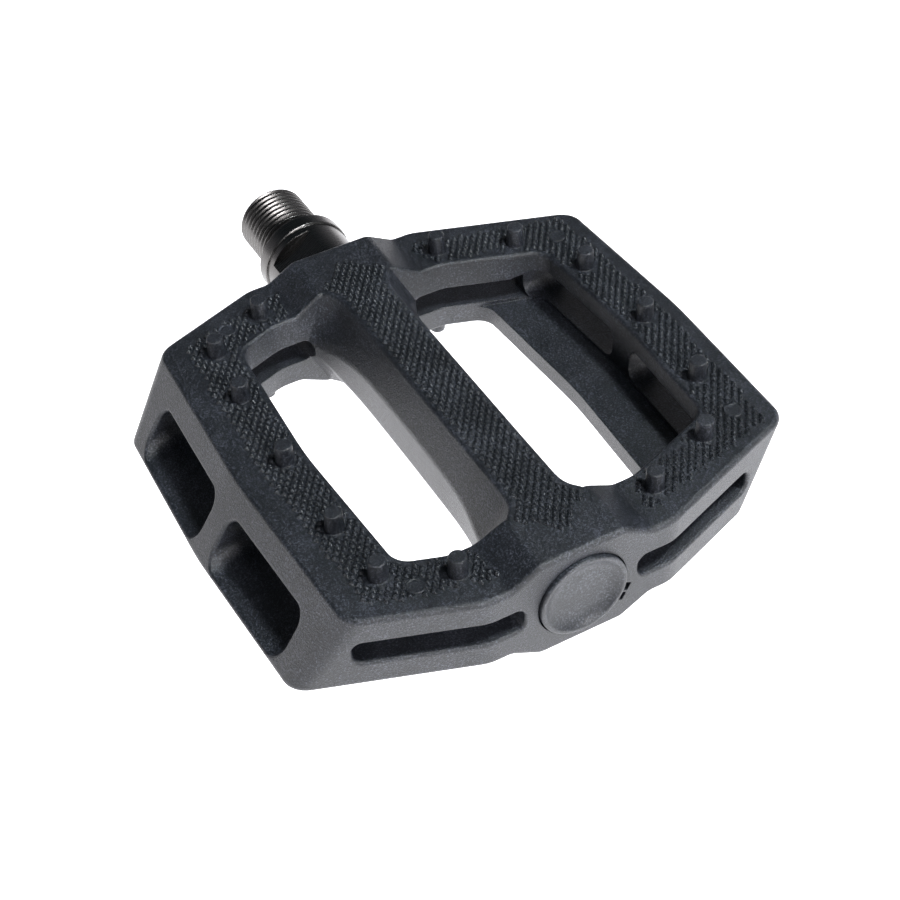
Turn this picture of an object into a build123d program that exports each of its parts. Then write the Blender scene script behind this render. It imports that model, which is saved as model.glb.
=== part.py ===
"""Flat platform pedal for a BMX bicycle: a moulded nylon platform turning on a steel spindle.

The origin is on the spindle's axis, where its flange seats against the crank arm.
+X runs outboard along the spindle, +Y is forward and +Z is up. All sizes are in millimetres.
The platform looks the same after half a turn about the spindle, so its upper and lower halves
are each other's images in that turn.
"""
from build123d import *
from math import hypot, radians, tan
import os

# ---- platform ------------------------------------------------------------------------------
platform_mid = 60.0         # crank face to the middle of the platform
half_length = 46.2          # middle of the platform to each end face
deck_half = 7.8             # half the thickness of the rails
crown_half = 10.9           # half the height of the barrel and of its end bosses
rail_y = 45.95              # rail's outer face at mid height and at the rail's middle
rail_slope = 0.042          # how fast that face falls in from the middle towards the corners
rail_lean = 5.05            # how far the rail's outer face shifts from mid height to the top
wing_y = 17.7               # where the end face turns into a slanted wing
wing_slope = 0.36           # how fast a wing falls back towards the rail
outer_corner_radius = 4.0
corner_reach = 52.0         # the four outer corners lie further than this from the middle
rail_bulge_radius = 80.0
elbow_radius = 8.0
boss_crown_width_half = 8.0
boss_foot_y = 13.6          # where the boss has come down to the deck
boss_blend_radius = 3.0
rim_radius = 1.0            # rounding of the deck's outer rims

# ---- the two openings beside the barrel ----------------------------------------------------
opening_half = 34.0         # half the opening's length beside the barrel, at the crown's height
wall_draft = 7.0            # lean of the opening's end walls, which close in towards mid height
opening_rail_y = 27.7       # inner rim of the near rail at the top, at the rail's middle
opening_rail_slope = 0.052
opening_land = 4.4          # upright land at the near rail's rim, the edge of its flange
flange_reach = 9.8          # how far the flange stands out from the rail's web below it
flange_taper = 0.65         # how much thicker the flange gets over that reach
web_lean = 0.8              # how far the web's inner wall leans away below the flange
opening_corner_radius = 4.0
opening_rim_radius = 0.7

# ---- side windows and end slots ------------------------------------------------------------
window_x = (2.8, 29.0)      # from the middle of the rail
# depth from the spindle, bottom, top and corner radius at the mouth and at the inner end
window_sections = ((52.0, -6.9, 4.0, 3.5), (30.0, -2.8, 1.4, 1.7))
window_mouth_y = 41.0       # the mouth's edges lie beyond this
mouth_radius = 0.6          # rounding of the window and slot mouths
slot_y = (11.0, 38.6)
slot_half_height = 2.4
slot_radius = 1.9
slot_pocket_x = 32.0        # how deep the slot goes beside the corner pillar

# ---- barrel and bosses ---------------------------------------------------------------------
crown_width_half = 4.9      # the barrel's flat crown
crown_edge_radius = 0.8
barrel_ridge = (8.1, 3.9)   # where each flank turns upright, at the barrel's middle
barrel_root_ridge = (11.0, 0.9)             # the same ridge where the barrel meets the end walls
barrel_ridge_radius = 2.5
# the barrel's flare towards its ends: distance from the middle, share of the flare, extra width
barrel_stations = ((12, 0, 0), (21, 0.16, 0), (27, 0.5, 0), (29.5, 0.68, 0.05), (31.5, 0.84, 0.5),
                   (32.8, 0.94, 1.25), (33.6, 0.98, 1.95), (34.6, 1, 2.5))

# ---- moulded pins --------------------------------------------------------------------------
pin_height = 3.9
pin_root_radius = 1.75
pin_tip_radius = 1.55
pin_edge_radius = 0.25
pin_sunk = 0.5              # how far a pin's foot runs on into the deck
pin_x = (37.9, 32.0, 18.7, 0.0)             # from the platform's middle, outermost first
near_pin_y = (-18.7, -30.2, -31.4, -31.6)   # on the rail that leans in at the top
far_pin_y = (19.3, 33.6, 41.4, 42.6)        # on the rail that leans out at the top

# ---- spindle -------------------------------------------------------------------------------
thread_radius = 14.288 / 2  # 9/16 in x 20 per inch
thread_pitch = 1.27
thread_depth = 0.69
thread_crest = 0.26
thread_length = 14.6
groove_count = 10
first_groove_x = -1.8
groove_flank_rise = (0.2, 0.25)             # run and rise of a groove's flank beyond the crest
groove_floor = 0.24
thread_chamfer = 0.7
flange_radius = 9.3
flange_rounding = 0.3
flange_length = 2.9
collar_radius = 8.95
collar_end = 13.1
collar_chamfer = 0.5
wrench_flats = 15.0
wrench_flat_x = (4.6, 12.0)
wrench_flat_turn = 33.0     # the flats' turn about the spindle at rest
seal_journal_radius = 6.6
bush_bore_radius = 6.0
bush_outer_radius = 7.5
bush_x = (22.0, 37.0)
bush_chamfer = 0.4
bush_entry_gap = 0.1        # extra radius of the bore that the bush passes on its way in
middle_bore_radius = 6.3    # the platform's bore between bush and bearings
shank_radius = 5.6
bearing_journal_radius = 4.0
end_thread_radius = 4.0
hex_socket = 6.0
hex_socket_depth = 9.0

# ---- bearings: 8 x 16 x 5 ------------------------------------------------------------------
bearing_outer_radius = 8.0
bearing_width = 5.0
bearing_x = (84.0, 89.0)    # inboard face of each bearing
outer_ring_bore = 6.9
inner_ring_outer = 5.1
ball_radius = 1.1906
ball_pitch_radius = 6.05
ball_count = 9
groove_radius = 1.215
ring_chamfer = 0.3
cage_x = (0.75, 3.0)        # the crown cage, from the bearing's inboard face
cage_radii = (5.5, 6.6)
cage_pocket_gap = 0.06
shield_thickness = 0.3
shield_gap = 0.15           # between a shield and the inner ring
shield_inset = 0.1

# ---- nut, washer, cap, seal ----------------------------------------------------------------
washer_thickness = 1.0
washer_radius = 6.2
washer_gap = 0.1
nut_flats = 12.0
nut_height = 5.0
insert_height = 1.2
collar_wall = 0.5           # wall of the nut's rolled collar round its insert
nut_crown = (9.5, 5.7)      # the cone that chamfers the nut's corners, from its seat to its collar
spindle_end = 101.0
cap_recess_radius = 8.6
cap_recess_depth = 3.3
cap_radius = 8.35
notch_turn = -27.0          # where the recess rim has its pair of prising notches
notch_depth = 1.4
notch_reach = 1.3           # how far a notch goes out beyond the recess
notch_width = 1.7
notch_pitch = 2.1
cap_stand = 0.8             # how far the cap's rim stands proud of the end face
cap_rim_width = 0.8
cap_rim_rounding = 0.35
cap_dish_depth = 1.3
cap_floor_radius = 4.6      # the flat floor of the cap's dish
cap_plate = 0.9             # from the cap's seat to the back of its plate
cap_skirt = (2.2, 0.9)      # length and wall of the skirt that plugs the bearing bore
seal_depth = 3.6
seal_outer_radius = 8.3
seal_inset = 0.2            # how far its face lies inside the platform's end
seal_lip_gap = 0.05
seal_lip_wall = 0.4
seal_lip_length = 0.9
seal_groove_depth = 1.3
running_gap = 0.04          # radial play of a running fit

os.makedirs("parts", exist_ok=True)

middle = Plane(origin=(platform_mid, 0, 0))
section = Plane.YZ.offset(platform_mid)
inboard_face = platform_mid - half_length
outboard_face = platform_mid + half_length
along = (Align.CENTER, Align.CENTER, Align.MIN)
tiny = 0.01                 # how closely an edge's place has to agree when it is picked
beyond = 60.0               # further out than any face of the platform


def turned(steps, mode=Mode.ADD):
    """Add or cut coaxial cylinders on the spindle's axis: start and stop on X, then radius."""
    for start, stop, radius in steps:
        with Locations(Plane.YZ.offset(start)):
            Cylinder(radius, stop - start, align=along, mode=mode)


def rim_circles(part, x, radius):
    """The part's circular edges at one place along the spindle."""
    circles = part.edges().filter_by(GeomType.CIRCLE)
    circles = circles.filter_by(lambda e: abs(e.center().X - x) < tiny)
    return circles.filter_by(lambda e: abs(e.radius - radius) < tiny)


def wing_x(end, y):
    """Distance from the platform's middle to a wing's vertical face that starts at `end`."""
    return end - wing_slope * (y - wing_y)


def end_outline(end, reach):
    """The plan outline that both wings and the flat end faces give, out to `reach` either side."""
    tip = wing_x(end, reach)
    quarter = [(tip, reach), (end, wing_y), (end, -wing_y), (tip, -reach)]
    return quarter + [(-x, -y) for x, y in quarter]


def skin_rims(block):
    """Edges where the block's top or bottom skin meets its sides."""
    found = []
    for up in (1, -1):
        skin = block.faces().filter_by(lambda f: f.normal_at().Z * up > 0.7)
        edges = [edge for face in skin for edge in face.edges()]
        found += [edge for edge in edges if edges.count(edge) == 1]
    return ShapeList(found)


# ---- the block: leaning rails, upright wings and the raised bosses of the two ends -------------
with BuildPart() as wing_limits:
    with BuildSketch(middle.offset(-2 * deck_half)) as wing_plan:
        Polygon(*end_outline(half_length, beyond), align=None)
        fillet(wing_plan.vertices().filter_by(lambda v: abs(v.Y) < 2 * wing_y), elbow_radius)
    extrude(amount=4 * deck_half)

with BuildPart() as block:
    with BuildSketch(section.offset(-beyond)) as boss_section:
        quarter = [(boss_crown_width_half, crown_half), (boss_foot_y, deck_half), (wing_y + 8, deck_half)]
        right = quarter + [(y, -z) for y, z in reversed(quarter)]
        left = [(-y, z) for y, z in reversed(right)]
        Polygon(*right, *left, align=None)
        fillet(boss_section.vertices().filter_by(lambda v: abs(v.X) < wing_y + 1), boss_blend_radius)
    extrude(amount=2 * beyond)
    with BuildSketch(middle.offset(-deck_half)) as rail_plan:
        rail_end_y = rail_y - beyond * rail_slope
        rail_line = [(-beyond, rail_end_y), (0, rail_y), (beyond, rail_end_y)]
        far_line = [(x, y - rail_lean) for x, y in rail_line]
        near_line = [(-x, -y - rail_lean) for x, y in rail_line]
        Polygon(*far_line, *near_line, align=None)
        fillet(rail_plan.vertices().filter_by(lambda v: abs(v.X) < 1), rail_bulge_radius)
    extrude(amount=2 * hypot(rail_lean, deck_half), dir=(0, rail_lean, deck_half))
    add(wing_limits, mode=Mode.INTERSECT)
    uprights = block.edges().filter_by(lambda e: abs(e.center().Z) < 1)
    corners = uprights.filter_by(lambda e: hypot(e.center().X - platform_mid, e.center().Y) > corner_reach)
    fillet(corners, outer_corner_radius)
    fillet(skin_rims(block.part), rim_radius)

# ---- one opening; the other is its half turn -------------------------------------------------
web_drop = 2 * deck_half - opening_land - flange_taper
rim_end_y = opening_rail_y - beyond * opening_rail_slope
rim_line = [(-beyond, 20), (-beyond, -rim_end_y), (0, -opening_rail_y), (beyond, -rim_end_y), (beyond, 20)]
with BuildPart() as opening:
    with BuildSketch(middle.offset(deck_half - opening_land)) as rim_plan:
        Polygon(*rim_line, align=None)
        fillet(rim_plan.vertices().filter_by(lambda v: abs(v.X) < 1), rail_bulge_radius)
    extrude(amount=crown_half)
    underside = (0, -flange_reach, -flange_taper)
    extrude(rim_plan.sketch, amount=hypot(*underside), dir=underside)
    web_plan = rim_plan.sketch.moved(Location(underside))
    extrude(web_plan, amount=1.3 * hypot(web_lean, web_drop), dir=(0, -web_lean, -web_drop))
    with BuildSketch(middle) as opening_ends:
        mid_half = opening_half - crown_half * tan(radians(wall_draft))
        ends = [(x, y) for x, y in end_outline(mid_half, beyond) if y < 0]
        Polygon(*ends, (-mid_half, -2), (mid_half, -2), align=None)
        fillet(opening_ends.vertices().filter_by(lambda v: abs(abs(v.Y) - wing_y) < 1), elbow_radius)
    extrude(amount=2 * deck_half, both=True, taper=-wall_draft, mode=Mode.INTERSECT)
    walls = opening.edges().filter_by(lambda e: e.length < 40 and abs(e.center().Y) > 20)
    ridges = walls.filter_by(lambda e: abs((e @ 0).Z - (e @ 1).Z) > 1 and abs((e @ 0).X - platform_mid) > 6)
    fillet(ridges, opening_corner_radius)

# ---- the pair of side windows through one rail ------------------------------------------------
with BuildPart() as side_windows:
    for depth, bottom, top, radius in window_sections:
        with BuildSketch(Plane(origin=(platform_mid, -depth, 0), z_dir=(0, -1, 0), x_dir=(1, 0, 0))):
            with Locations((sum(window_x) / 2, (top + bottom) / 2)):
                RectangleRounded(window_x[1] - window_x[0], top - bottom, radius)
    loft()
    mirror(about=section)

# ---- the end slot of one wing -----------------------------------------------------------------
with BuildPart() as wing_slot:
    slot_height = 2 * slot_half_height
    with BuildSketch(section.offset(opening_half - 10)):
        with Locations((sum(slot_y) / 2, 0)):
            RectangleRounded(slot_y[1] - slot_y[0], slot_height, slot_radius)
    extrude(amount=30)
    with BuildSketch(middle.offset(-slot_half_height)):
        pocket_y = slot_y[1] - 5
        Polygon((70, 0), (70, 50), (slot_pocket_x, 50), (slot_pocket_x, pocket_y), (20, pocket_y), (20, 0),
                align=None)
    extrude(amount=slot_height, mode=Mode.INTERSECT)

# ---- barrel and the bores along the spindle ----------------------------------------------------
with BuildPart() as barrel:
    for side in (-1, 1):
        for reach, flare, widening in barrel_stations[::side]:
            with BuildSketch(section.offset(side * reach)) as station:
                ridge_y = barrel_ridge[0] + flare * (barrel_root_ridge[0] - barrel_ridge[0]) + widening
                ridge_z = barrel_ridge[1] + flare * (barrel_root_ridge[1] - barrel_ridge[1])
                quarter = [(crown_width_half + widening, crown_half), (ridge_y, ridge_z)]
                right = quarter + [(y, -z) for y, z in reversed(quarter)]
                left = [(-y, z) for y, z in reversed(right)]
                Polygon(*right, *left, align=None)
                fillet(station.vertices().filter_by(lambda v: abs(v.Y) < 5), barrel_ridge_radius)
                fillet(station.vertices().filter_by(lambda v: abs(v.Y) > 10), crown_edge_radius)
    loft()

with BuildPart() as bores:
    turned([
        (inboard_face - 1, inboard_face + seal_depth, seal_outer_radius),
        (inboard_face + seal_depth, bush_x[0], bush_outer_radius + bush_entry_gap),
        (bush_x[0], bush_x[1], bush_outer_radius),
        (bush_x[1], bearing_x[0], middle_bore_radius),
        (bearing_x[0], outboard_face - cap_recess_depth, bearing_outer_radius),
        (outboard_face - cap_recess_depth, outboard_face + 1, cap_recess_radius),
    ])
    with Locations(Location((outboard_face, 0, 0), (notch_turn, 0, 0))):
        with Locations((0, cap_recess_radius, -notch_pitch / 2), (0, cap_recess_radius, notch_pitch / 2)):
            Box(2 * notch_depth, 2 * notch_reach, notch_width)

# ---- the moulded platform ----------------------------------------------------------------------
with BuildPart() as pins:
    for y_row in (near_pin_y, far_pin_y):
        for x, y in zip(pin_x, y_row):
            for side in ((-1, 1) if x else (1,)):
                with Locations((platform_mid + side * x, y, deck_half - pin_sunk)):
                    Cone(pin_root_radius, pin_tip_radius, pin_height + pin_sunk, align=along)
    tips = pins.edges().group_by(Axis.Z)[-1]
    fillet(tips, pin_edge_radius)


def is_opening_rim(edge):
    """True for the rims of the two openings, apart from the strip that the barrel covers."""
    centre = edge.center()
    reach = abs(centre.X - platform_mid)
    far_rim_y = opening_rail_y + flange_reach + web_lean
    on_skin = abs(centre.Z) > deck_half - 1
    return on_skin and 2.1 < abs(centre.Y) < far_rim_y + 0.5 and reach < opening_half + 0.5


def is_on_end_face(edge):
    """True for edges that lie on an end face or on the outside of a wing."""
    centre = edge.center()
    skin = min(half_length, wing_x(half_length, abs(centre.Y)))
    return abs(centre.X - platform_mid) > skin - 1


with BuildPart() as pedal_body:
    add(block)
    for turn in (0, 180):
        add(opening.part.rotate(Axis.X, turn), mode=Mode.SUBTRACT)
    inner_rims = skin_rims(pedal_body.part).filter_by(is_opening_rim)
    fillet(inner_rims, opening_rim_radius)
    add(barrel)
    for turn in (0, 180):
        add(side_windows.part.rotate(Axis.X, turn), mode=Mode.SUBTRACT)
        new_edges = pedal_body.edges(Select.LAST)
        fillet(new_edges.filter_by(lambda e: abs(e.center().Y) > window_mouth_y), mouth_radius)
    for slot in (wing_slot.part, wing_slot.part.mirror(section)):
        for wing in (slot, slot.mirror(Plane.XZ)):
            add(wing, mode=Mode.SUBTRACT)
            slot_mouth = pedal_body.edges(Select.LAST).filter_by(is_on_end_face)
            fillet(slot_mouth, mouth_radius)
    add(bores, mode=Mode.SUBTRACT)
    for turn in (0, 180):
        add(pins.part.rotate(Axis.X, turn))
pedal_body.part.label = "pedal_body"
export_step(pedal_body.part, "parts/pedal_body.step")

# ---- spindle -----------------------------------------------------------------------------------
with BuildPart() as spindle:
    turned([
        (-thread_length, 0, thread_radius),
        (0, flange_length, flange_radius),
        (flange_length, collar_end, collar_radius),
        (collar_end, bush_x[0], seal_journal_radius),
        (bush_x[0], bush_x[1], bush_bore_radius - running_gap),
        (bush_x[1], bearing_x[0], shank_radius),
        (bearing_x[0], spindle_end, bearing_journal_radius),
    ])
    chamfer(rim_circles(spindle, -thread_length, thread_radius), thread_chamfer)
    chamfer(rim_circles(spindle, collar_end, collar_radius), collar_chamfer)
    chamfer(rim_circles(spindle, spindle_end, bearing_journal_radius), collar_chamfer)
    fillet(rim_circles(spindle, flange_length, flange_radius), flange_rounding)
    with BuildSketch(Plane.XY) as groove_sections:
        half_mouth = (thread_pitch - thread_crest) / 2
        for index in range(groove_count):
            x = first_groove_x - index * thread_pitch
            mouth_in = (x - half_mouth, thread_radius)
            mouth_out = (x + half_mouth, thread_radius)
            run, rise = groove_flank_rise
            top_out = (mouth_out[0] + run, thread_radius + rise)
            top_in = (mouth_in[0] - run, thread_radius + rise)
            floor_in = (x - groove_floor / 2, thread_radius - thread_depth)
            floor_out = (x + groove_floor / 2, thread_radius - thread_depth)
            Polygon(mouth_in, floor_in, floor_out, mouth_out, top_out, top_in, align=None)
    revolve(axis=Axis.X, mode=Mode.SUBTRACT)
    with BuildSketch(Plane.YZ.offset(wrench_flat_x[0])):
        Circle(collar_radius + 1)
        Rectangle(4 * collar_radius, wrench_flats, rotation=wrench_flat_turn, mode=Mode.SUBTRACT)
    extrude(amount=wrench_flat_x[1] - wrench_flat_x[0], mode=Mode.SUBTRACT)
    with BuildSketch(Plane.YZ.offset(-thread_length)):
        RegularPolygon(hex_socket / 2, 6, major_radius=False)
    extrude(amount=hex_socket_depth, mode=Mode.SUBTRACT)
spindle.part.label = "spindle"
export_step(spindle.part, "parts/spindle.step")

# ---- dust seal and plain bush ------------------------------------------------------------------
with BuildPart() as dust_seal:
    with BuildSketch(Plane.XY):
        lip = seal_journal_radius + seal_lip_gap
        face = inboard_face + seal_inset
        back = inboard_face + seal_depth
        groove_in = lip + seal_lip_wall
        groove_out = groove_in + 2 * seal_lip_wall
        groove_foot = (face + seal_groove_depth, (groove_in + groove_out) / 2)
        Polygon((face, lip), (face, groove_in), groove_foot, (face, groove_out), (face, seal_outer_radius),
                (back, seal_outer_radius), (back, lip + seal_lip_wall), (face + seal_lip_length, lip),
                align=None)
    revolve(axis=Axis.X)
dust_seal.part.label = "dust_seal"
export_step(dust_seal.part, "parts/dust_seal.step")

with BuildPart() as plain_bush:
    turned([(bush_x[0], bush_x[1], bush_outer_radius)])
    turned([(bush_x[0], bush_x[1], bush_bore_radius)], mode=Mode.SUBTRACT)
    for end_x in bush_x:
        chamfer(rim_circles(plain_bush, end_x, bush_outer_radius), bush_chamfer)
plain_bush.part.label = "plain_bush"
export_step(plain_bush.part, "parts/plain_bush.step")

# ---- the pieces of one ball bearing, its inboard face at x = 0 ---------------------------------
ball_x = bearing_width / 2

with BuildPart() as race_groove:
    with BuildSketch(Plane.XY):
        with Locations((ball_x, ball_pitch_radius)):
            Circle(groove_radius)
    revolve(axis=Axis.X)

with BuildPart() as outer_ring:
    turned([(0, bearing_width, bearing_outer_radius)])
    turned([(0, bearing_width, outer_ring_bore)], mode=Mode.SUBTRACT)
    chamfer(rim_circles(outer_ring, 0, bearing_outer_radius), ring_chamfer)
    chamfer(rim_circles(outer_ring, bearing_width, bearing_outer_radius), ring_chamfer)
    add(race_groove, mode=Mode.SUBTRACT)

with BuildPart() as inner_ring:
    turned([(0, bearing_width, inner_ring_outer)])
    turned([(0, bearing_width, bearing_journal_radius)], mode=Mode.SUBTRACT)
    add(race_groove, mode=Mode.SUBTRACT)

with BuildPart() as ball_ring:
    with Locations(Plane.YZ.offset(ball_x)):
        with PolarLocations(ball_pitch_radius, ball_count):
            Sphere(ball_radius)

with BuildPart() as crown_cage:
    turned([(*cage_x, cage_radii[1])])
    turned([(*cage_x, cage_radii[0])], mode=Mode.SUBTRACT)
    with Locations(Plane.YZ.offset(ball_x)):
        with PolarLocations(ball_pitch_radius, ball_count):
            Sphere(ball_radius + cage_pocket_gap, mode=Mode.SUBTRACT)

with BuildPart() as shield:
    turned([(0, shield_thickness, outer_ring_bore)])
    turned([(0, shield_thickness, inner_ring_outer + shield_gap)], mode=Mode.SUBTRACT)

inner_bearing = Location((bearing_x[0], 0, 0))
outer_bearing = Location((bearing_x[1], 0, 0))
shield_in = Location((shield_inset, 0, 0))
shield_out = Location((bearing_width - shield_inset - shield_thickness, 0, 0))

# ---- inboard ball bearing ----------------------------------------------------------------------
with BuildPart() as inner_bearing_outer_ring:
    add(outer_ring.part.moved(inner_bearing))
inner_bearing_outer_ring.part.label = "inner_bearing_outer_ring"
export_step(inner_bearing_outer_ring.part, "parts/inner_bearing_outer_ring.step")

with BuildPart() as inner_bearing_inner_ring:
    add(inner_ring.part.moved(inner_bearing))
inner_bearing_inner_ring.part.label = "inner_bearing_inner_ring"
export_step(inner_bearing_inner_ring.part, "parts/inner_bearing_inner_ring.step")

with BuildPart() as inner_bearing_balls:
    add(ball_ring.part.moved(inner_bearing))
inner_bearing_balls.part.label = "inner_bearing_balls"
export_step(inner_bearing_balls.part, "parts/inner_bearing_balls.step")

with BuildPart() as inner_bearing_cage:
    add(crown_cage.part.moved(inner_bearing))
inner_bearing_cage.part.label = "inner_bearing_cage"
export_step(inner_bearing_cage.part, "parts/inner_bearing_cage.step")

with BuildPart() as inner_bearing_inboard_shield:
    add(shield.part.moved(inner_bearing * shield_in))
inner_bearing_inboard_shield.part.label = "inner_bearing_inboard_shield"
export_step(inner_bearing_inboard_shield.part, "parts/inner_bearing_inboard_shield.step")

with BuildPart() as inner_bearing_outboard_shield:
    add(shield.part.moved(inner_bearing * shield_out))
inner_bearing_outboard_shield.part.label = "inner_bearing_outboard_shield"
export_step(inner_bearing_outboard_shield.part, "parts/inner_bearing_outboard_shield.step")

# ---- outboard ball bearing ---------------------------------------------------------------------
with BuildPart() as outer_bearing_outer_ring:
    add(outer_ring.part.moved(outer_bearing))
outer_bearing_outer_ring.part.label = "outer_bearing_outer_ring"
export_step(outer_bearing_outer_ring.part, "parts/outer_bearing_outer_ring.step")

with BuildPart() as outer_bearing_inner_ring:
    add(inner_ring.part.moved(outer_bearing))
outer_bearing_inner_ring.part.label = "outer_bearing_inner_ring"
export_step(outer_bearing_inner_ring.part, "parts/outer_bearing_inner_ring.step")

with BuildPart() as outer_bearing_balls:
    add(ball_ring.part.moved(outer_bearing))
outer_bearing_balls.part.label = "outer_bearing_balls"
export_step(outer_bearing_balls.part, "parts/outer_bearing_balls.step")

with BuildPart() as outer_bearing_cage:
    add(crown_cage.part.moved(outer_bearing))
outer_bearing_cage.part.label = "outer_bearing_cage"
export_step(outer_bearing_cage.part, "parts/outer_bearing_cage.step")

with BuildPart() as outer_bearing_inboard_shield:
    add(shield.part.moved(outer_bearing * shield_in))
outer_bearing_inboard_shield.part.label = "outer_bearing_inboard_shield"
export_step(outer_bearing_inboard_shield.part, "parts/outer_bearing_inboard_shield.step")

with BuildPart() as outer_bearing_outboard_shield:
    add(shield.part.moved(outer_bearing * shield_out))
outer_bearing_outboard_shield.part.label = "outer_bearing_outboard_shield"
export_step(outer_bearing_outboard_shield.part, "parts/outer_bearing_outboard_shield.step")

# ---- washer, lock nut and its nylon insert -----------------------------------------------------
nut_x = bearing_x[1] + bearing_width + washer_thickness
insert_x = nut_x + nut_height - insert_height
insert_radius = nut_flats / 2 - 2 * collar_wall

with BuildPart() as nut_washer:
    turned([(nut_x - washer_thickness, nut_x, washer_radius)])
    turned([(nut_x - washer_thickness, nut_x, end_thread_radius + washer_gap)], mode=Mode.SUBTRACT)
nut_washer.part.label = "nut_washer"
export_step(nut_washer.part, "parts/nut_washer.step")

with BuildPart() as lock_nut:
    with BuildSketch(Plane.YZ.offset(nut_x)):
        RegularPolygon(nut_flats / 2, 6, major_radius=False)
    extrude(amount=nut_height - insert_height)
    with Locations(Plane.YZ.offset(nut_x)):
        Cone(*nut_crown, nut_height - insert_height, align=along, mode=Mode.INTERSECT)
    turned([(insert_x, nut_x + nut_height, insert_radius + collar_wall)])
    turned([(nut_x, insert_x, end_thread_radius)], mode=Mode.SUBTRACT)
    turned([(insert_x, nut_x + nut_height, insert_radius)], mode=Mode.SUBTRACT)
lock_nut.part.label = "lock_nut"
export_step(lock_nut.part, "parts/lock_nut.step")

with BuildPart() as lock_nut_insert:
    turned([(insert_x, nut_x + nut_height, insert_radius)])
    turned([(insert_x, nut_x + nut_height, end_thread_radius)], mode=Mode.SUBTRACT)
lock_nut_insert.part.label = "lock_nut_insert"
export_step(lock_nut_insert.part, "parts/lock_nut_insert.step")

# ---- end cap -----------------------------------------------------------------------------------
cap_seat = outboard_face - cap_recess_depth
cap_face = outboard_face + cap_stand
with BuildPart() as end_cap:
    with BuildSketch(Plane.XY):
        with BuildLine():
            dish_rim = (cap_face, cap_radius - cap_rim_width)
            dish_foot = (cap_face - cap_dish_depth, cap_floor_radius)
            skirt_end = cap_seat - cap_skirt[0]
            skirt_bore = bearing_outer_radius - cap_skirt[1]
            plate_back = cap_seat + cap_plate
            Polyline(dish_foot, (dish_foot[0], 0), (plate_back, 0), (plate_back, skirt_bore),
                     (skirt_end, skirt_bore), (skirt_end, bearing_outer_radius),
                     (cap_seat, bearing_outer_radius), (cap_seat, cap_radius), (cap_face, cap_radius),
                     dish_rim)
            TangentArc(dish_foot, dish_rim, tangent=(0, 1))
        make_face()
    revolve(axis=Axis.X)
    fillet(rim_circles(end_cap, cap_face, cap_radius), cap_rim_rounding)
    fillet(rim_circles(end_cap, cap_face, cap_radius - cap_rim_width), cap_rim_rounding)
end_cap.part.label = "end_cap"
export_step(end_cap.part, "parts/end_cap.step")
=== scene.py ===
"""Looks of a flat bicycle pedal: moulded grip, grained nylon, turned steel, studio floor and camera.

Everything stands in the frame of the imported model, in metres: +X runs outboard along the spindle,
+Y is forward and +Z is up.
"""

import math

import bmesh
import bpy
from mathutils import Matrix, Vector
from mathutils.bvhtree import BVHTree


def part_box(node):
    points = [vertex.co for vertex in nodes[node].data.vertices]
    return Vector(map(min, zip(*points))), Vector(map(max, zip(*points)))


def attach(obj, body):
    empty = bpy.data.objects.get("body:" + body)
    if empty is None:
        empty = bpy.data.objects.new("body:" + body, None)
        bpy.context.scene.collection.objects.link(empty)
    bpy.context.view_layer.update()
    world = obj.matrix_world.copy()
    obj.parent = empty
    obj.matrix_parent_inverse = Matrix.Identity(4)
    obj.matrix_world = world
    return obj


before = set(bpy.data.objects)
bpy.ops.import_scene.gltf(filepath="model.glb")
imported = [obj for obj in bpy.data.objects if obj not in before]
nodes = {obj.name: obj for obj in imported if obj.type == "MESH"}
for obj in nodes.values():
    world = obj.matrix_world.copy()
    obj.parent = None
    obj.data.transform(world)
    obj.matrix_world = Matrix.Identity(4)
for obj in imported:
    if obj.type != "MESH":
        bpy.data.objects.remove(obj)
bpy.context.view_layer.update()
MM = 0.001

body_low, body_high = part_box("pedal_body")
MID_X = (body_low.x + body_high.x) / 2


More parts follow.
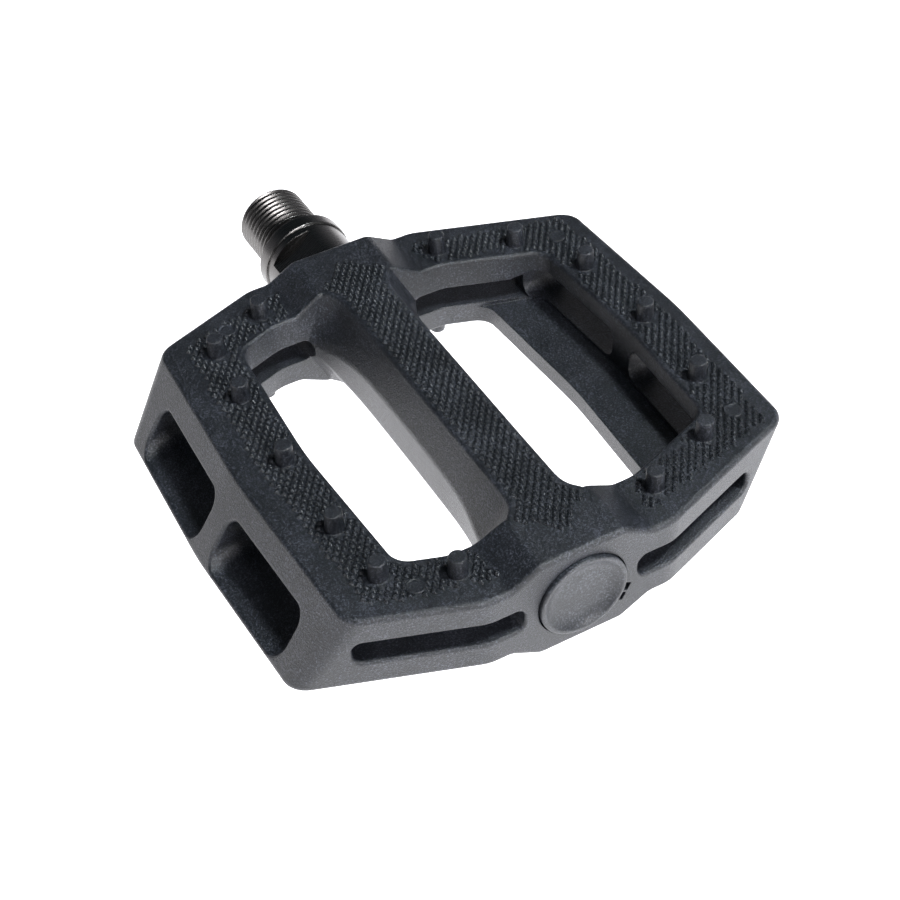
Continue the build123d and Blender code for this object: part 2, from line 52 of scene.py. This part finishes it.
# ---- node helpers -----------------------------------------------------------------------------
class Shader:
    """A small builder for one node material."""

    MIX_COLOURS = (6, 7)    # a Mix node's two colour inputs
    MIX_RESULT = 2          # and its colour output

    def __init__(self, name):
        self.material = bpy.data.materials.new(name)
        self.material.use_nodes = True
        self.tree = self.material.node_tree
        self.tree.nodes.clear()
        self.output = self.tree.nodes.new("ShaderNodeOutputMaterial")
        self.surface = self.tree.nodes.new("ShaderNodeBsdfPrincipled")
        self.link(self.surface.outputs[0], self.output.inputs["Surface"])
        coordinates = self.tree.nodes.new("ShaderNodeTexCoord")
        self.place = coordinates.outputs["Object"]

    def link(self, source, target):
        self.tree.links.new(source, target)

    def node(self, kind, inputs=(), **settings):
        """Adds a node, sets its properties, and links or sets the inputs given by name or index."""
        made = self.tree.nodes.new(kind)
        for key, value in settings.items():
            setattr(made, key, value)
        for key, value in dict(inputs).items():
            if isinstance(value, bpy.types.NodeSocket):
                self.link(value, made.inputs[key])
            else:
                made.inputs[key].default_value = value
        return made

    def noise(self, scale, detail=3.0, roughness=0.5, place=None):
        """A noise pattern; scale is in features per metre."""
        inputs = {"Scale": scale, "Detail": detail, "Roughness": roughness, "Vector": place or self.place}
        made = self.node("ShaderNodeTexNoise", inputs)
        return made.outputs["Fac"]

    def stretched(self, scale):
        """The object's coordinates scaled apart along X, Y and Z."""
        made = self.node("ShaderNodeMapping", {"Vector": self.place, "Scale": scale})
        return made.outputs["Vector"]

    def ramp(self, value, stops):
        """Maps a value through colour stops of (position, colour)."""
        made = self.node("ShaderNodeValToRGB", {"Fac": value})
        elements = made.color_ramp.elements
        while len(elements) < len(stops):
            elements.new(0.5)
        for element, (position, colour) in zip(elements, stops):
            element.position = position
            element.color = (*colour, 1)
        return made.outputs["Color"]

    def spread(self, value, low, high):
        """Maps a value from 0 and 1 to low and high."""
        made = self.node("ShaderNodeMapRange", {"Value": value, "To Min": low, "To Max": high})
        return made.outputs["Result"]

    def mix(self, factor, first, second):
        """Blends two colours."""
        made = self.node("ShaderNodeMix", {"Factor": factor}, data_type="RGBA")
        for index, colour in zip(self.MIX_COLOURS, (first, second)):
            made.inputs[index].default_value = (*colour, 1)
        return made.outputs[self.MIX_RESULT]

    def math(self, operation, first, second=0.0):
        """One arithmetic step on two values."""
        made = self.node("ShaderNodeMath", {0: first, 1: second}, operation=operation)
        return made.outputs[0]

    def bump(self, height, strength, distance, normal=None):
        """Normals of a fine relief, laid over other normals if they are given."""
        inputs = {"Height": height, "Strength": strength, "Distance": distance}
        if normal is not None:
            inputs["Normal"] = normal
        made = self.node("ShaderNodeBump", inputs)
        return made.outputs["Normal"]

    def soft_edges(self, radius):
        """Normals that round off sharp edges, as a mould does."""
        made = self.node("ShaderNodeBevel", {"Radius": radius}, samples=4)
        return made.outputs["Normal"]

    def set(self, **values):
        """Sets or links the shader's own inputs."""
        for key, value in values.items():
            socket = self.surface.inputs[key.replace("_", " ")]
            if isinstance(value, bpy.types.NodeSocket):
                self.link(value, socket)
            else:
                socket.default_value = value


# ---- materials --------------------------------------------------------------------------------
PAINTED_PIT_SHARE = 0.45            # painted shade in the grain's pits, as a share of the nylon's dark colour
PAINTED_GLINT_SHARE = 3.0           # painted glint on the grain's raised points, as a share of its light colour
TONE_PLACES = (0.36, 0.5, 0.56, 0.66)       # where the painted pit shade, dark, light and the painted glint lie in the noise
PIT_DEPTH = 0.12 * MM
FINE_DEPTH = 0.06 * MM
NYLON_EDGE = 0.35 * MM      # rounding of moulded edges
STEEL_EDGE = 0.2 * MM
TURNED_SCALE = (9000, 300, 300)             # texture features per metre, closest along the spindle
PLAIN_SCALE = (2500, 2500, 2500)
STAIN_SHADE = 0.62          # a stain's tone, as a share of the steel's colour


def nylon(name, dark, light, grain, rough):
    """Glass-filled black nylon with the fine grain of a spark-eroded mould; its colour holds painted
    shade in the grain's pits and painted glints on its raised points.
    """
    s = Shader(name)
    pits = s.noise(2900, 3.0, 0.7)
    fine = s.noise(7000, 2.0, 0.6)
    patch = s.noise(110, 4.0, 0.65)
    shade = s.math("ADD", s.spread(patch, -0.12, 0.12), pits)
    painted_pit_shade = tuple(c * PAINTED_PIT_SHARE for c in dark)
    painted_glint = tuple(c * PAINTED_GLINT_SHARE for c in light)
    tones = list(zip(TONE_PLACES, (painted_pit_shade, dark, light, painted_glint)))
    # the colour ramp follows the bump's own pits noise: painted shade in the hollows, painted glints on
    # the raised grain
    s.set(Base_Color=s.ramp(shade, tones), Roughness=s.spread(fine, *rough), Specular_IOR_Level=0.5)
    pitted_skin = s.bump(pits, grain, PIT_DEPTH, s.soft_edges(NYLON_EDGE))
    s.set(Normal=s.bump(fine, grain, FINE_DEPTH, pitted_skin))
    return s.material


def steel(name, colour, rough=(0.25, 0.42), turned=True):
    """Steel with faint stains, and fine rings around the spindle's axis where it was turned."""
    s = Shader(name)
    rings = s.noise(1.0, 2.0, 0.5, s.stretched(TURNED_SCALE if turned else PLAIN_SCALE))
    stain = s.noise(160, 4.0, 0.6)
    tint = s.mix(s.spread(stain, 0.0, 0.7), colour, tuple(c * STAIN_SHADE for c in colour))
    s.set(Base_Color=tint, Metallic=1.0, Roughness=s.spread(rings, *rough))
    s.set(Normal=s.bump(rings, 0.25, 0.02 * MM, s.soft_edges(STEEL_EDGE)))
    return s.material


def soft_plastic(name, colour, rough=(0.45, 0.6)):
    """A plain moulded or rubber piece with a slight texture."""
    s = Shader(name)
    texture = s.noise(2500, 3.0, 0.6)
    patch = s.noise(200, 3.0, 0.5)
    s.set(Base_Color=s.mix(patch, colour, tuple(c * 0.7 for c in colour)))
    s.set(Roughness=s.spread(patch, *rough), Normal=s.bump(texture, 0.3, 0.04 * MM))
    return s.material


def wear(obj, material):
    """Gives every face of an object one material."""
    obj.data.materials.clear()
    obj.data.materials.append(material)


body_nylon = nylon("platform nylon", (0.007, 0.009, 0.012), (0.020, 0.022, 0.028), 1.0, (0.24, 0.40))
wear(nodes["pedal_body"], body_nylon)
cap_nylon = nylon("cap nylon", (0.014, 0.016, 0.020), (0.026, 0.029, 0.035), 0.6, (0.3, 0.4))
wear(nodes["end_cap"], cap_nylon)
wear(nodes["spindle"], steel("spindle steel", (0.16, 0.155, 0.15), (0.2, 0.34)))
wear(nodes["dust_seal"], soft_plastic("seal rubber", (0.02, 0.02, 0.02), (0.6, 0.8)))
wear(nodes["plain_bush"], soft_plastic("bush polymer", (0.10, 0.09, 0.08)))
wear(nodes["nut_washer"], steel("washer steel", (0.55, 0.55, 0.53)))
wear(nodes["lock_nut"], steel("nut steel", (0.56, 0.56, 0.54), turned=False))
wear(nodes["lock_nut_insert"], soft_plastic("insert nylon", (0.7, 0.71, 0.69)))
ring_steel = steel("bearing steel", (0.66, 0.66, 0.67), (0.15, 0.25))
for bearing in ("inner_bearing", "outer_bearing"):
    wear(nodes[bearing + "_outer_ring"], ring_steel)
    wear(nodes[bearing + "_inner_ring"], ring_steel)
    wear(nodes[bearing + "_balls"], steel("ball steel", (0.8, 0.8, 0.81), (0.05, 0.1), turned=False))
    wear(nodes[bearing + "_cage"], soft_plastic("cage nylon", (0.10, 0.08, 0.06)))
    for side in ("inboard", "outboard"):
        wear(nodes[f"{bearing}_{side}_shield"], steel("shield steel", (0.58, 0.58, 0.59)))


# ---- moulded grip: rows of small pointed studs ------------------------------------------------
STUD_PITCH_X = 2.07 * MM
STUD_PITCH_Y = 1.50 * MM
STUD_HEIGHT = 0.55 * MM
STUD_FOOT = 0.97            # share of its lattice diamond that a stud's foot fills
STUD_TOP = 0.14             # the same for its flat tip
SUNK = 0.08 * MM            # how deep a stud's foot lies in the moulding
FOOT_SLACK = 0.12 * MM      # how far a corner of its foot may lie off the plane of its middle
LEAST_UPRIGHT = 0.8         # the steepest skin that carries studs, as its normal's rise

TIPS_OVER_CROWN = 0.8 * MM  # how far the pins' tips stand above the barrel's crown
CROWN_LEVEL = body_high.z - TIPS_OVER_CROWN
DECK_LEVEL = 7.8 * MM
LEVEL_SLACK = 0.5 * MM      # how far off its level a stud's middle may lie
LATTICE_REACH = 0.06        # half the side of the square of lattice points that are tried
PROBE_HEIGHT = 0.03         # where the rays that find the skin start

body_mesh = nodes["pedal_body"].data
body_tree = BVHTree.FromPolygons(
    [v.co.copy() for v in body_mesh.vertices],
    [tuple(p.vertices) for p in body_mesh.polygons],
)


def skin(x, y, up):
    """The moulding's outermost point and normal at a place, seen from above or from below."""
    hit, normal, _, _ = body_tree.ray_cast(Vector((x, y, up * PROBE_HEIGHT)), Vector((0, 0, -up)))
    return hit, normal


def inside(outline, x, y):
    """True if a point is inside a closed outline."""
    crossings = 0
    for (x0, y0), (x1, y1) in zip(outline, outline[1:] + outline[:1]):
        if (y0 > y) != (y1 > y) and x < x0 + (y - y0) * (x1 - x0) / (y1 - y0):
            crossings += 1
    return crossings % 2 == 1


def both_ends(points):
    """A half outline on the platform's outboard side, closed by its image on the inboard side."""
    placed = [(MID_X + x * MM, y * MM) for x, y in points]
    return placed + [(2 * MID_X - x, y) for x, y in reversed(placed)]


# outlines of the grip seen from above, in millimetres from the platform's middle
CROWN_GRIP = both_ends([
    (0, 4.75), (30.5, 4.75), (33.6, 8.0), (41.3, 0), (33.6, -8.0), (30.5, -4.75), (0, -4.75)])
FAR_GRIP = both_ends([
    (0, 46.9), (34.0, 45.4), (42.4, 14.8), (33.0, 17.2), (33.0, 30.0), (0, 30.0)])
NEAR_GRIP = both_ends([
    (0, -36.3), (35.6, -34.8), (37.6, -32.4), (42.6, -13.0), (33.0, -14.6), (33.0, -22.0), (0, -22.0)])
EJECTORS = [(29.4, 41.6), (-29.4, 41.6), (37.0, -26.0), (-37.0, -26.0)]
EJECTOR_RADIUS = 1.8
EJECTOR_HEIGHT = 0.28
EJECTOR_CLEARANCE = 0.95    # share of a mark's radius inside which no stud stands


def near_ejector(x, y):
    """True on one of the round ejector marks, where the grip is left out."""
    reach = EJECTOR_RADIUS * MM * EJECTOR_CLEARANCE
    return any(math.hypot(x - MID_X - ex * MM, y - ey * MM) < reach for ex, ey in EJECTORS)


def stud_places(outlines):
    """The lattice points inside any of the outlines, as seen from above."""
    places = []
    rows = int(LATTICE_REACH / STUD_PITCH_Y * 2)
    columns = int(LATTICE_REACH / STUD_PITCH_X)
    for row in range(-rows, rows + 1):
        y = row * STUD_PITCH_Y / 2
        shift = 0.5 * (row % 2)
        for column in range(-columns, columns + 1):
            x = MID_X + (column + shift) * STUD_PITCH_X
            if any(inside(outline, x, y) for outline in outlines) and not near_ejector(x, y):
                places.append((x, y))
    return places


def diamond(share):
    """The four corners of a lattice diamond, shrunk to a share of it."""
    reach_x = share * STUD_PITCH_X / 2
    reach_y = share * STUD_PITCH_Y / 2
    return [(reach_x, 0), (0, reach_y), (-reach_x, 0), (0, -reach_y)]


def stud(x, y, up, level):
    """One stud's eight corners on the skin at a level, or None where it would overhang an edge."""
    hit, normal = skin(x, y, up)
    if hit is None or normal.z * up < LEAST_UPRIGHT or abs(hit.z * up - level) > LEVEL_SLACK:
        return None
    foot = []
    for dx, dy in diamond(STUD_FOOT):
        corner, _ = skin(x + dx, y + dy, up)
        if corner is None or abs((corner - hit).dot(normal)) > FOOT_SLACK:
            return None
        foot.append(corner - normal * SUNK)
    top = []
    for dx, dy in diamond(STUD_TOP):
        along = Vector((dx, dy, 0))
        along -= normal * along.dot(normal)
        top.append(hit + along + normal * STUD_HEIGHT)
    return foot + top


STUD_QUADS = [(3, 2, 1, 0), (4, 5, 6, 7)]
STUD_QUADS += [(i, (i + 1) % 4, (i + 1) % 4 + 4, i + 4) for i in range(4)]


def grip(name, outlines, up, level):
    """All studs of one side as one mesh; the lower side is the upper one's half turn about X."""
    corners = []
    faces = []
    for x, y in stud_places(outlines):
        made = stud(x, y * up, up, level)
        if made is None:
            continue
        start = len(corners)
        corners += made
        faces += [tuple(start + i for i in quad) for quad in STUD_QUADS]
    add_piece(name, corners, faces, grip_nylon, "platform")


def lathe(profile, centre, up, steps=24):
    """Corners and faces of a small round form: (radius, height) pairs turned about Z at a place."""
    corners = []
    faces = []
    for radius, height in profile:
        for step in range(steps):
            turn = 2 * math.pi * step / steps
            offset = Vector((radius * math.cos(turn), radius * math.sin(turn), height * up))
            corners.append(centre + offset)
    for ring in range(len(profile) - 1):
        for step in range(steps):
            after = (step + 1) % steps
            low, high = ring * steps, (ring + 1) * steps
            faces.append((low + step, low + after, high + after, high + step))
    faces.append(tuple(range(steps - 1, -1, -1)))
    faces.append(tuple((len(profile) - 1) * steps + step for step in range(steps)))
    return corners, faces


def add_piece(name, corners, faces, material, body):
    """Makes one closed piece of the visual model and hangs it on a body."""
    mesh = bpy.data.meshes.new(name)
    mesh.from_pydata(corners, [], faces)
    cleaned = bmesh.new()
    cleaned.from_mesh(mesh)
    bmesh.ops.recalc_face_normals(cleaned, faces=cleaned.faces)
    cleaned.to_mesh(mesh)
    cleaned.free()
    piece = bpy.data.objects.new(name, mesh)
    bpy.context.scene.collection.objects.link(piece)
    wear(piece, material)
    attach(piece, body)


def ejector_marks(name, up):
    """The round marks that the mould's ejector pins leave among the studs of one side."""
    radius, height = EJECTOR_RADIUS * MM, EJECTOR_HEIGHT * MM
    profile = [(radius, -SUNK), (radius, 0.7 * height), (0.92 * radius, height), (0.8 * radius, height),
               (0.72 * radius, 0.75 * height)]
    corners = []
    faces = []
    for ex, ey in EJECTORS:
        centre = Vector((MID_X + ex * MM, ey * MM * up, DECK_LEVEL * up))
        disc_corners, disc_faces = lathe(profile, centre, up)
        start = len(corners)
        corners += disc_corners
        faces += [tuple(start + i for i in face) for face in disc_faces]
    add_piece(name, corners, faces, body_nylon, "platform")


grip_nylon = nylon("grip nylon", (0.010, 0.012, 0.015), (0.024, 0.027, 0.032), 0.4, (0.22, 0.32))
for side_name, up in (("upper", 1), ("lower", -1)):
    grip(f"{side_name}_crown_grip", [CROWN_GRIP], up, CROWN_LEVEL)
    grip(f"{side_name}_rail_grip", [FAR_GRIP, NEAR_GRIP], up, DECK_LEVEL)
    ejector_marks(f"{side_name}_ejector_marks", up)


# ---- studio -----------------------------------------------------------------------------------
def look(camera, target, azimuth, elevation, distance, roll):
    """Places a camera by the point it looks at, its angles in degrees and its distance."""
    a, e = math.radians(azimuth), math.radians(elevation)
    back = Vector((math.sin(a) * math.cos(e), -math.cos(a) * math.cos(e), math.sin(e)))
    turn = (-back).to_track_quat("-Z", "Y").to_matrix().to_4x4()
    tilt = Matrix.Rotation(math.radians(roll), 4, "Z")
    camera.matrix_world = Matrix.Translation(Vector(target) + back * distance) @ turn @ tilt


CAMERA_TARGET = (0.06523, -0.00217, 0)
CAMERA_AZIMUTH, CAMERA_ELEVATION, CAMERA_ROLL = 62.41, 44.01, -2.42
CAMERA_DISTANCE = 0.32030

camera_data = bpy.data.cameras.new("camera")
camera_data.sensor_width = 36
camera_data.lens = 71.52
camera_data.clip_start = 0.01
camera_data.clip_end = 20
camera = bpy.data.objects.new("camera", camera_data)
bpy.context.scene.collection.objects.link(camera)
bpy.context.scene.camera = camera
look(camera, CAMERA_TARGET, CAMERA_AZIMUTH, CAMERA_ELEVATION, CAMERA_DISTANCE, CAMERA_ROLL)


def area_light(name, place, target, size, power, colour):
    """A soft rectangular lamp that faces a point."""
    data = bpy.data.lights.new(name, "AREA")
    data.shape = "RECTANGLE"
    data.size, data.size_y = size
    data.energy = power
    data.color = colour
    lamp = bpy.data.objects.new(name, data)
    bpy.context.scene.collection.objects.link(lamp)
    lamp.location = place
    lamp.rotation_mode = "QUATERNION"
    lamp.rotation_quaternion = (Vector(target) - Vector(place)).to_track_quat("-Z", "Y")


centre = (MID_X, 0, 0)
area_light("key", (0.85, 0.08, 0.45), centre, (0.25, 0.25), 7.5, (1.0, 0.98, 1.0))
area_light("fill", (0.10, -0.95, 0.10), centre, (0.5, 0.3), 2.0, (0.98, 0.97, 1.0))
area_light("top", (0.33, 0.32, 0.85), centre, (0.12, 0.12), 9.5, (0.92, 0.98, 1.0))


FLOOR_HALF = 3.0
FLOOR_LEVEL = -0.18
FLOOR_GLOW = 1.3


def floor():
    """A wide pale floor well below the part."""
    half = FLOOR_HALF
    mesh = bpy.data.meshes.new("floor")
    corners = [(-half, -half, 0), (half, -half, 0), (half, half, 0), (-half, half, 0)]
    mesh.from_pydata(corners, [], [(0, 1, 2, 3)])
    piece = bpy.data.objects.new("floor", mesh)
    piece.location = (0, 0, FLOOR_LEVEL)
    bpy.context.scene.collection.objects.link(piece)
    s = Shader("pale floor")
    s.set(Base_Color=s.mix(s.noise(3, 2.0, 0.5), (0.86, 0.86, 0.87), (0.9, 0.9, 0.9)), Roughness=0.9)
    s.set(Emission_Color=(1.0, 0.975, 1.0, 1), Emission_Strength=FLOOR_GLOW)
    wear(piece, s.material)


floor()


def studio_world():
    """Soft light from all round, weaker overhead."""
    world = bpy.data.worlds.new("studio")
    bpy.context.scene.world = world
    world.use_nodes = True
    tree = world.node_tree
    place = tree.nodes.new("ShaderNodeTexCoord")
    split = tree.nodes.new("ShaderNodeSeparateXYZ")
    ramp = tree.nodes.new("ShaderNodeValToRGB")
    tree.links.new(place.outputs["Generated"], split.inputs[0])
    tree.links.new(split.outputs["Z"], ramp.inputs["Fac"])
    tree.links.new(ramp.outputs["Color"], tree.nodes["Background"].inputs["Color"])
    ramp.color_ramp.elements[0].position = 0.05
    ramp.color_ramp.elements[0].color = (0.55, 0.54, 0.58, 1)
    ramp.color_ramp.elements[1].position = 0.5
    ramp.color_ramp.elements[1].color = (0.035, 0.05, 0.06, 1)
    tree.nodes["Background"].inputs["Strength"].default_value = 0.6


studio_world()
bpy.context.scene.view_settings.view_transform = "Standard"
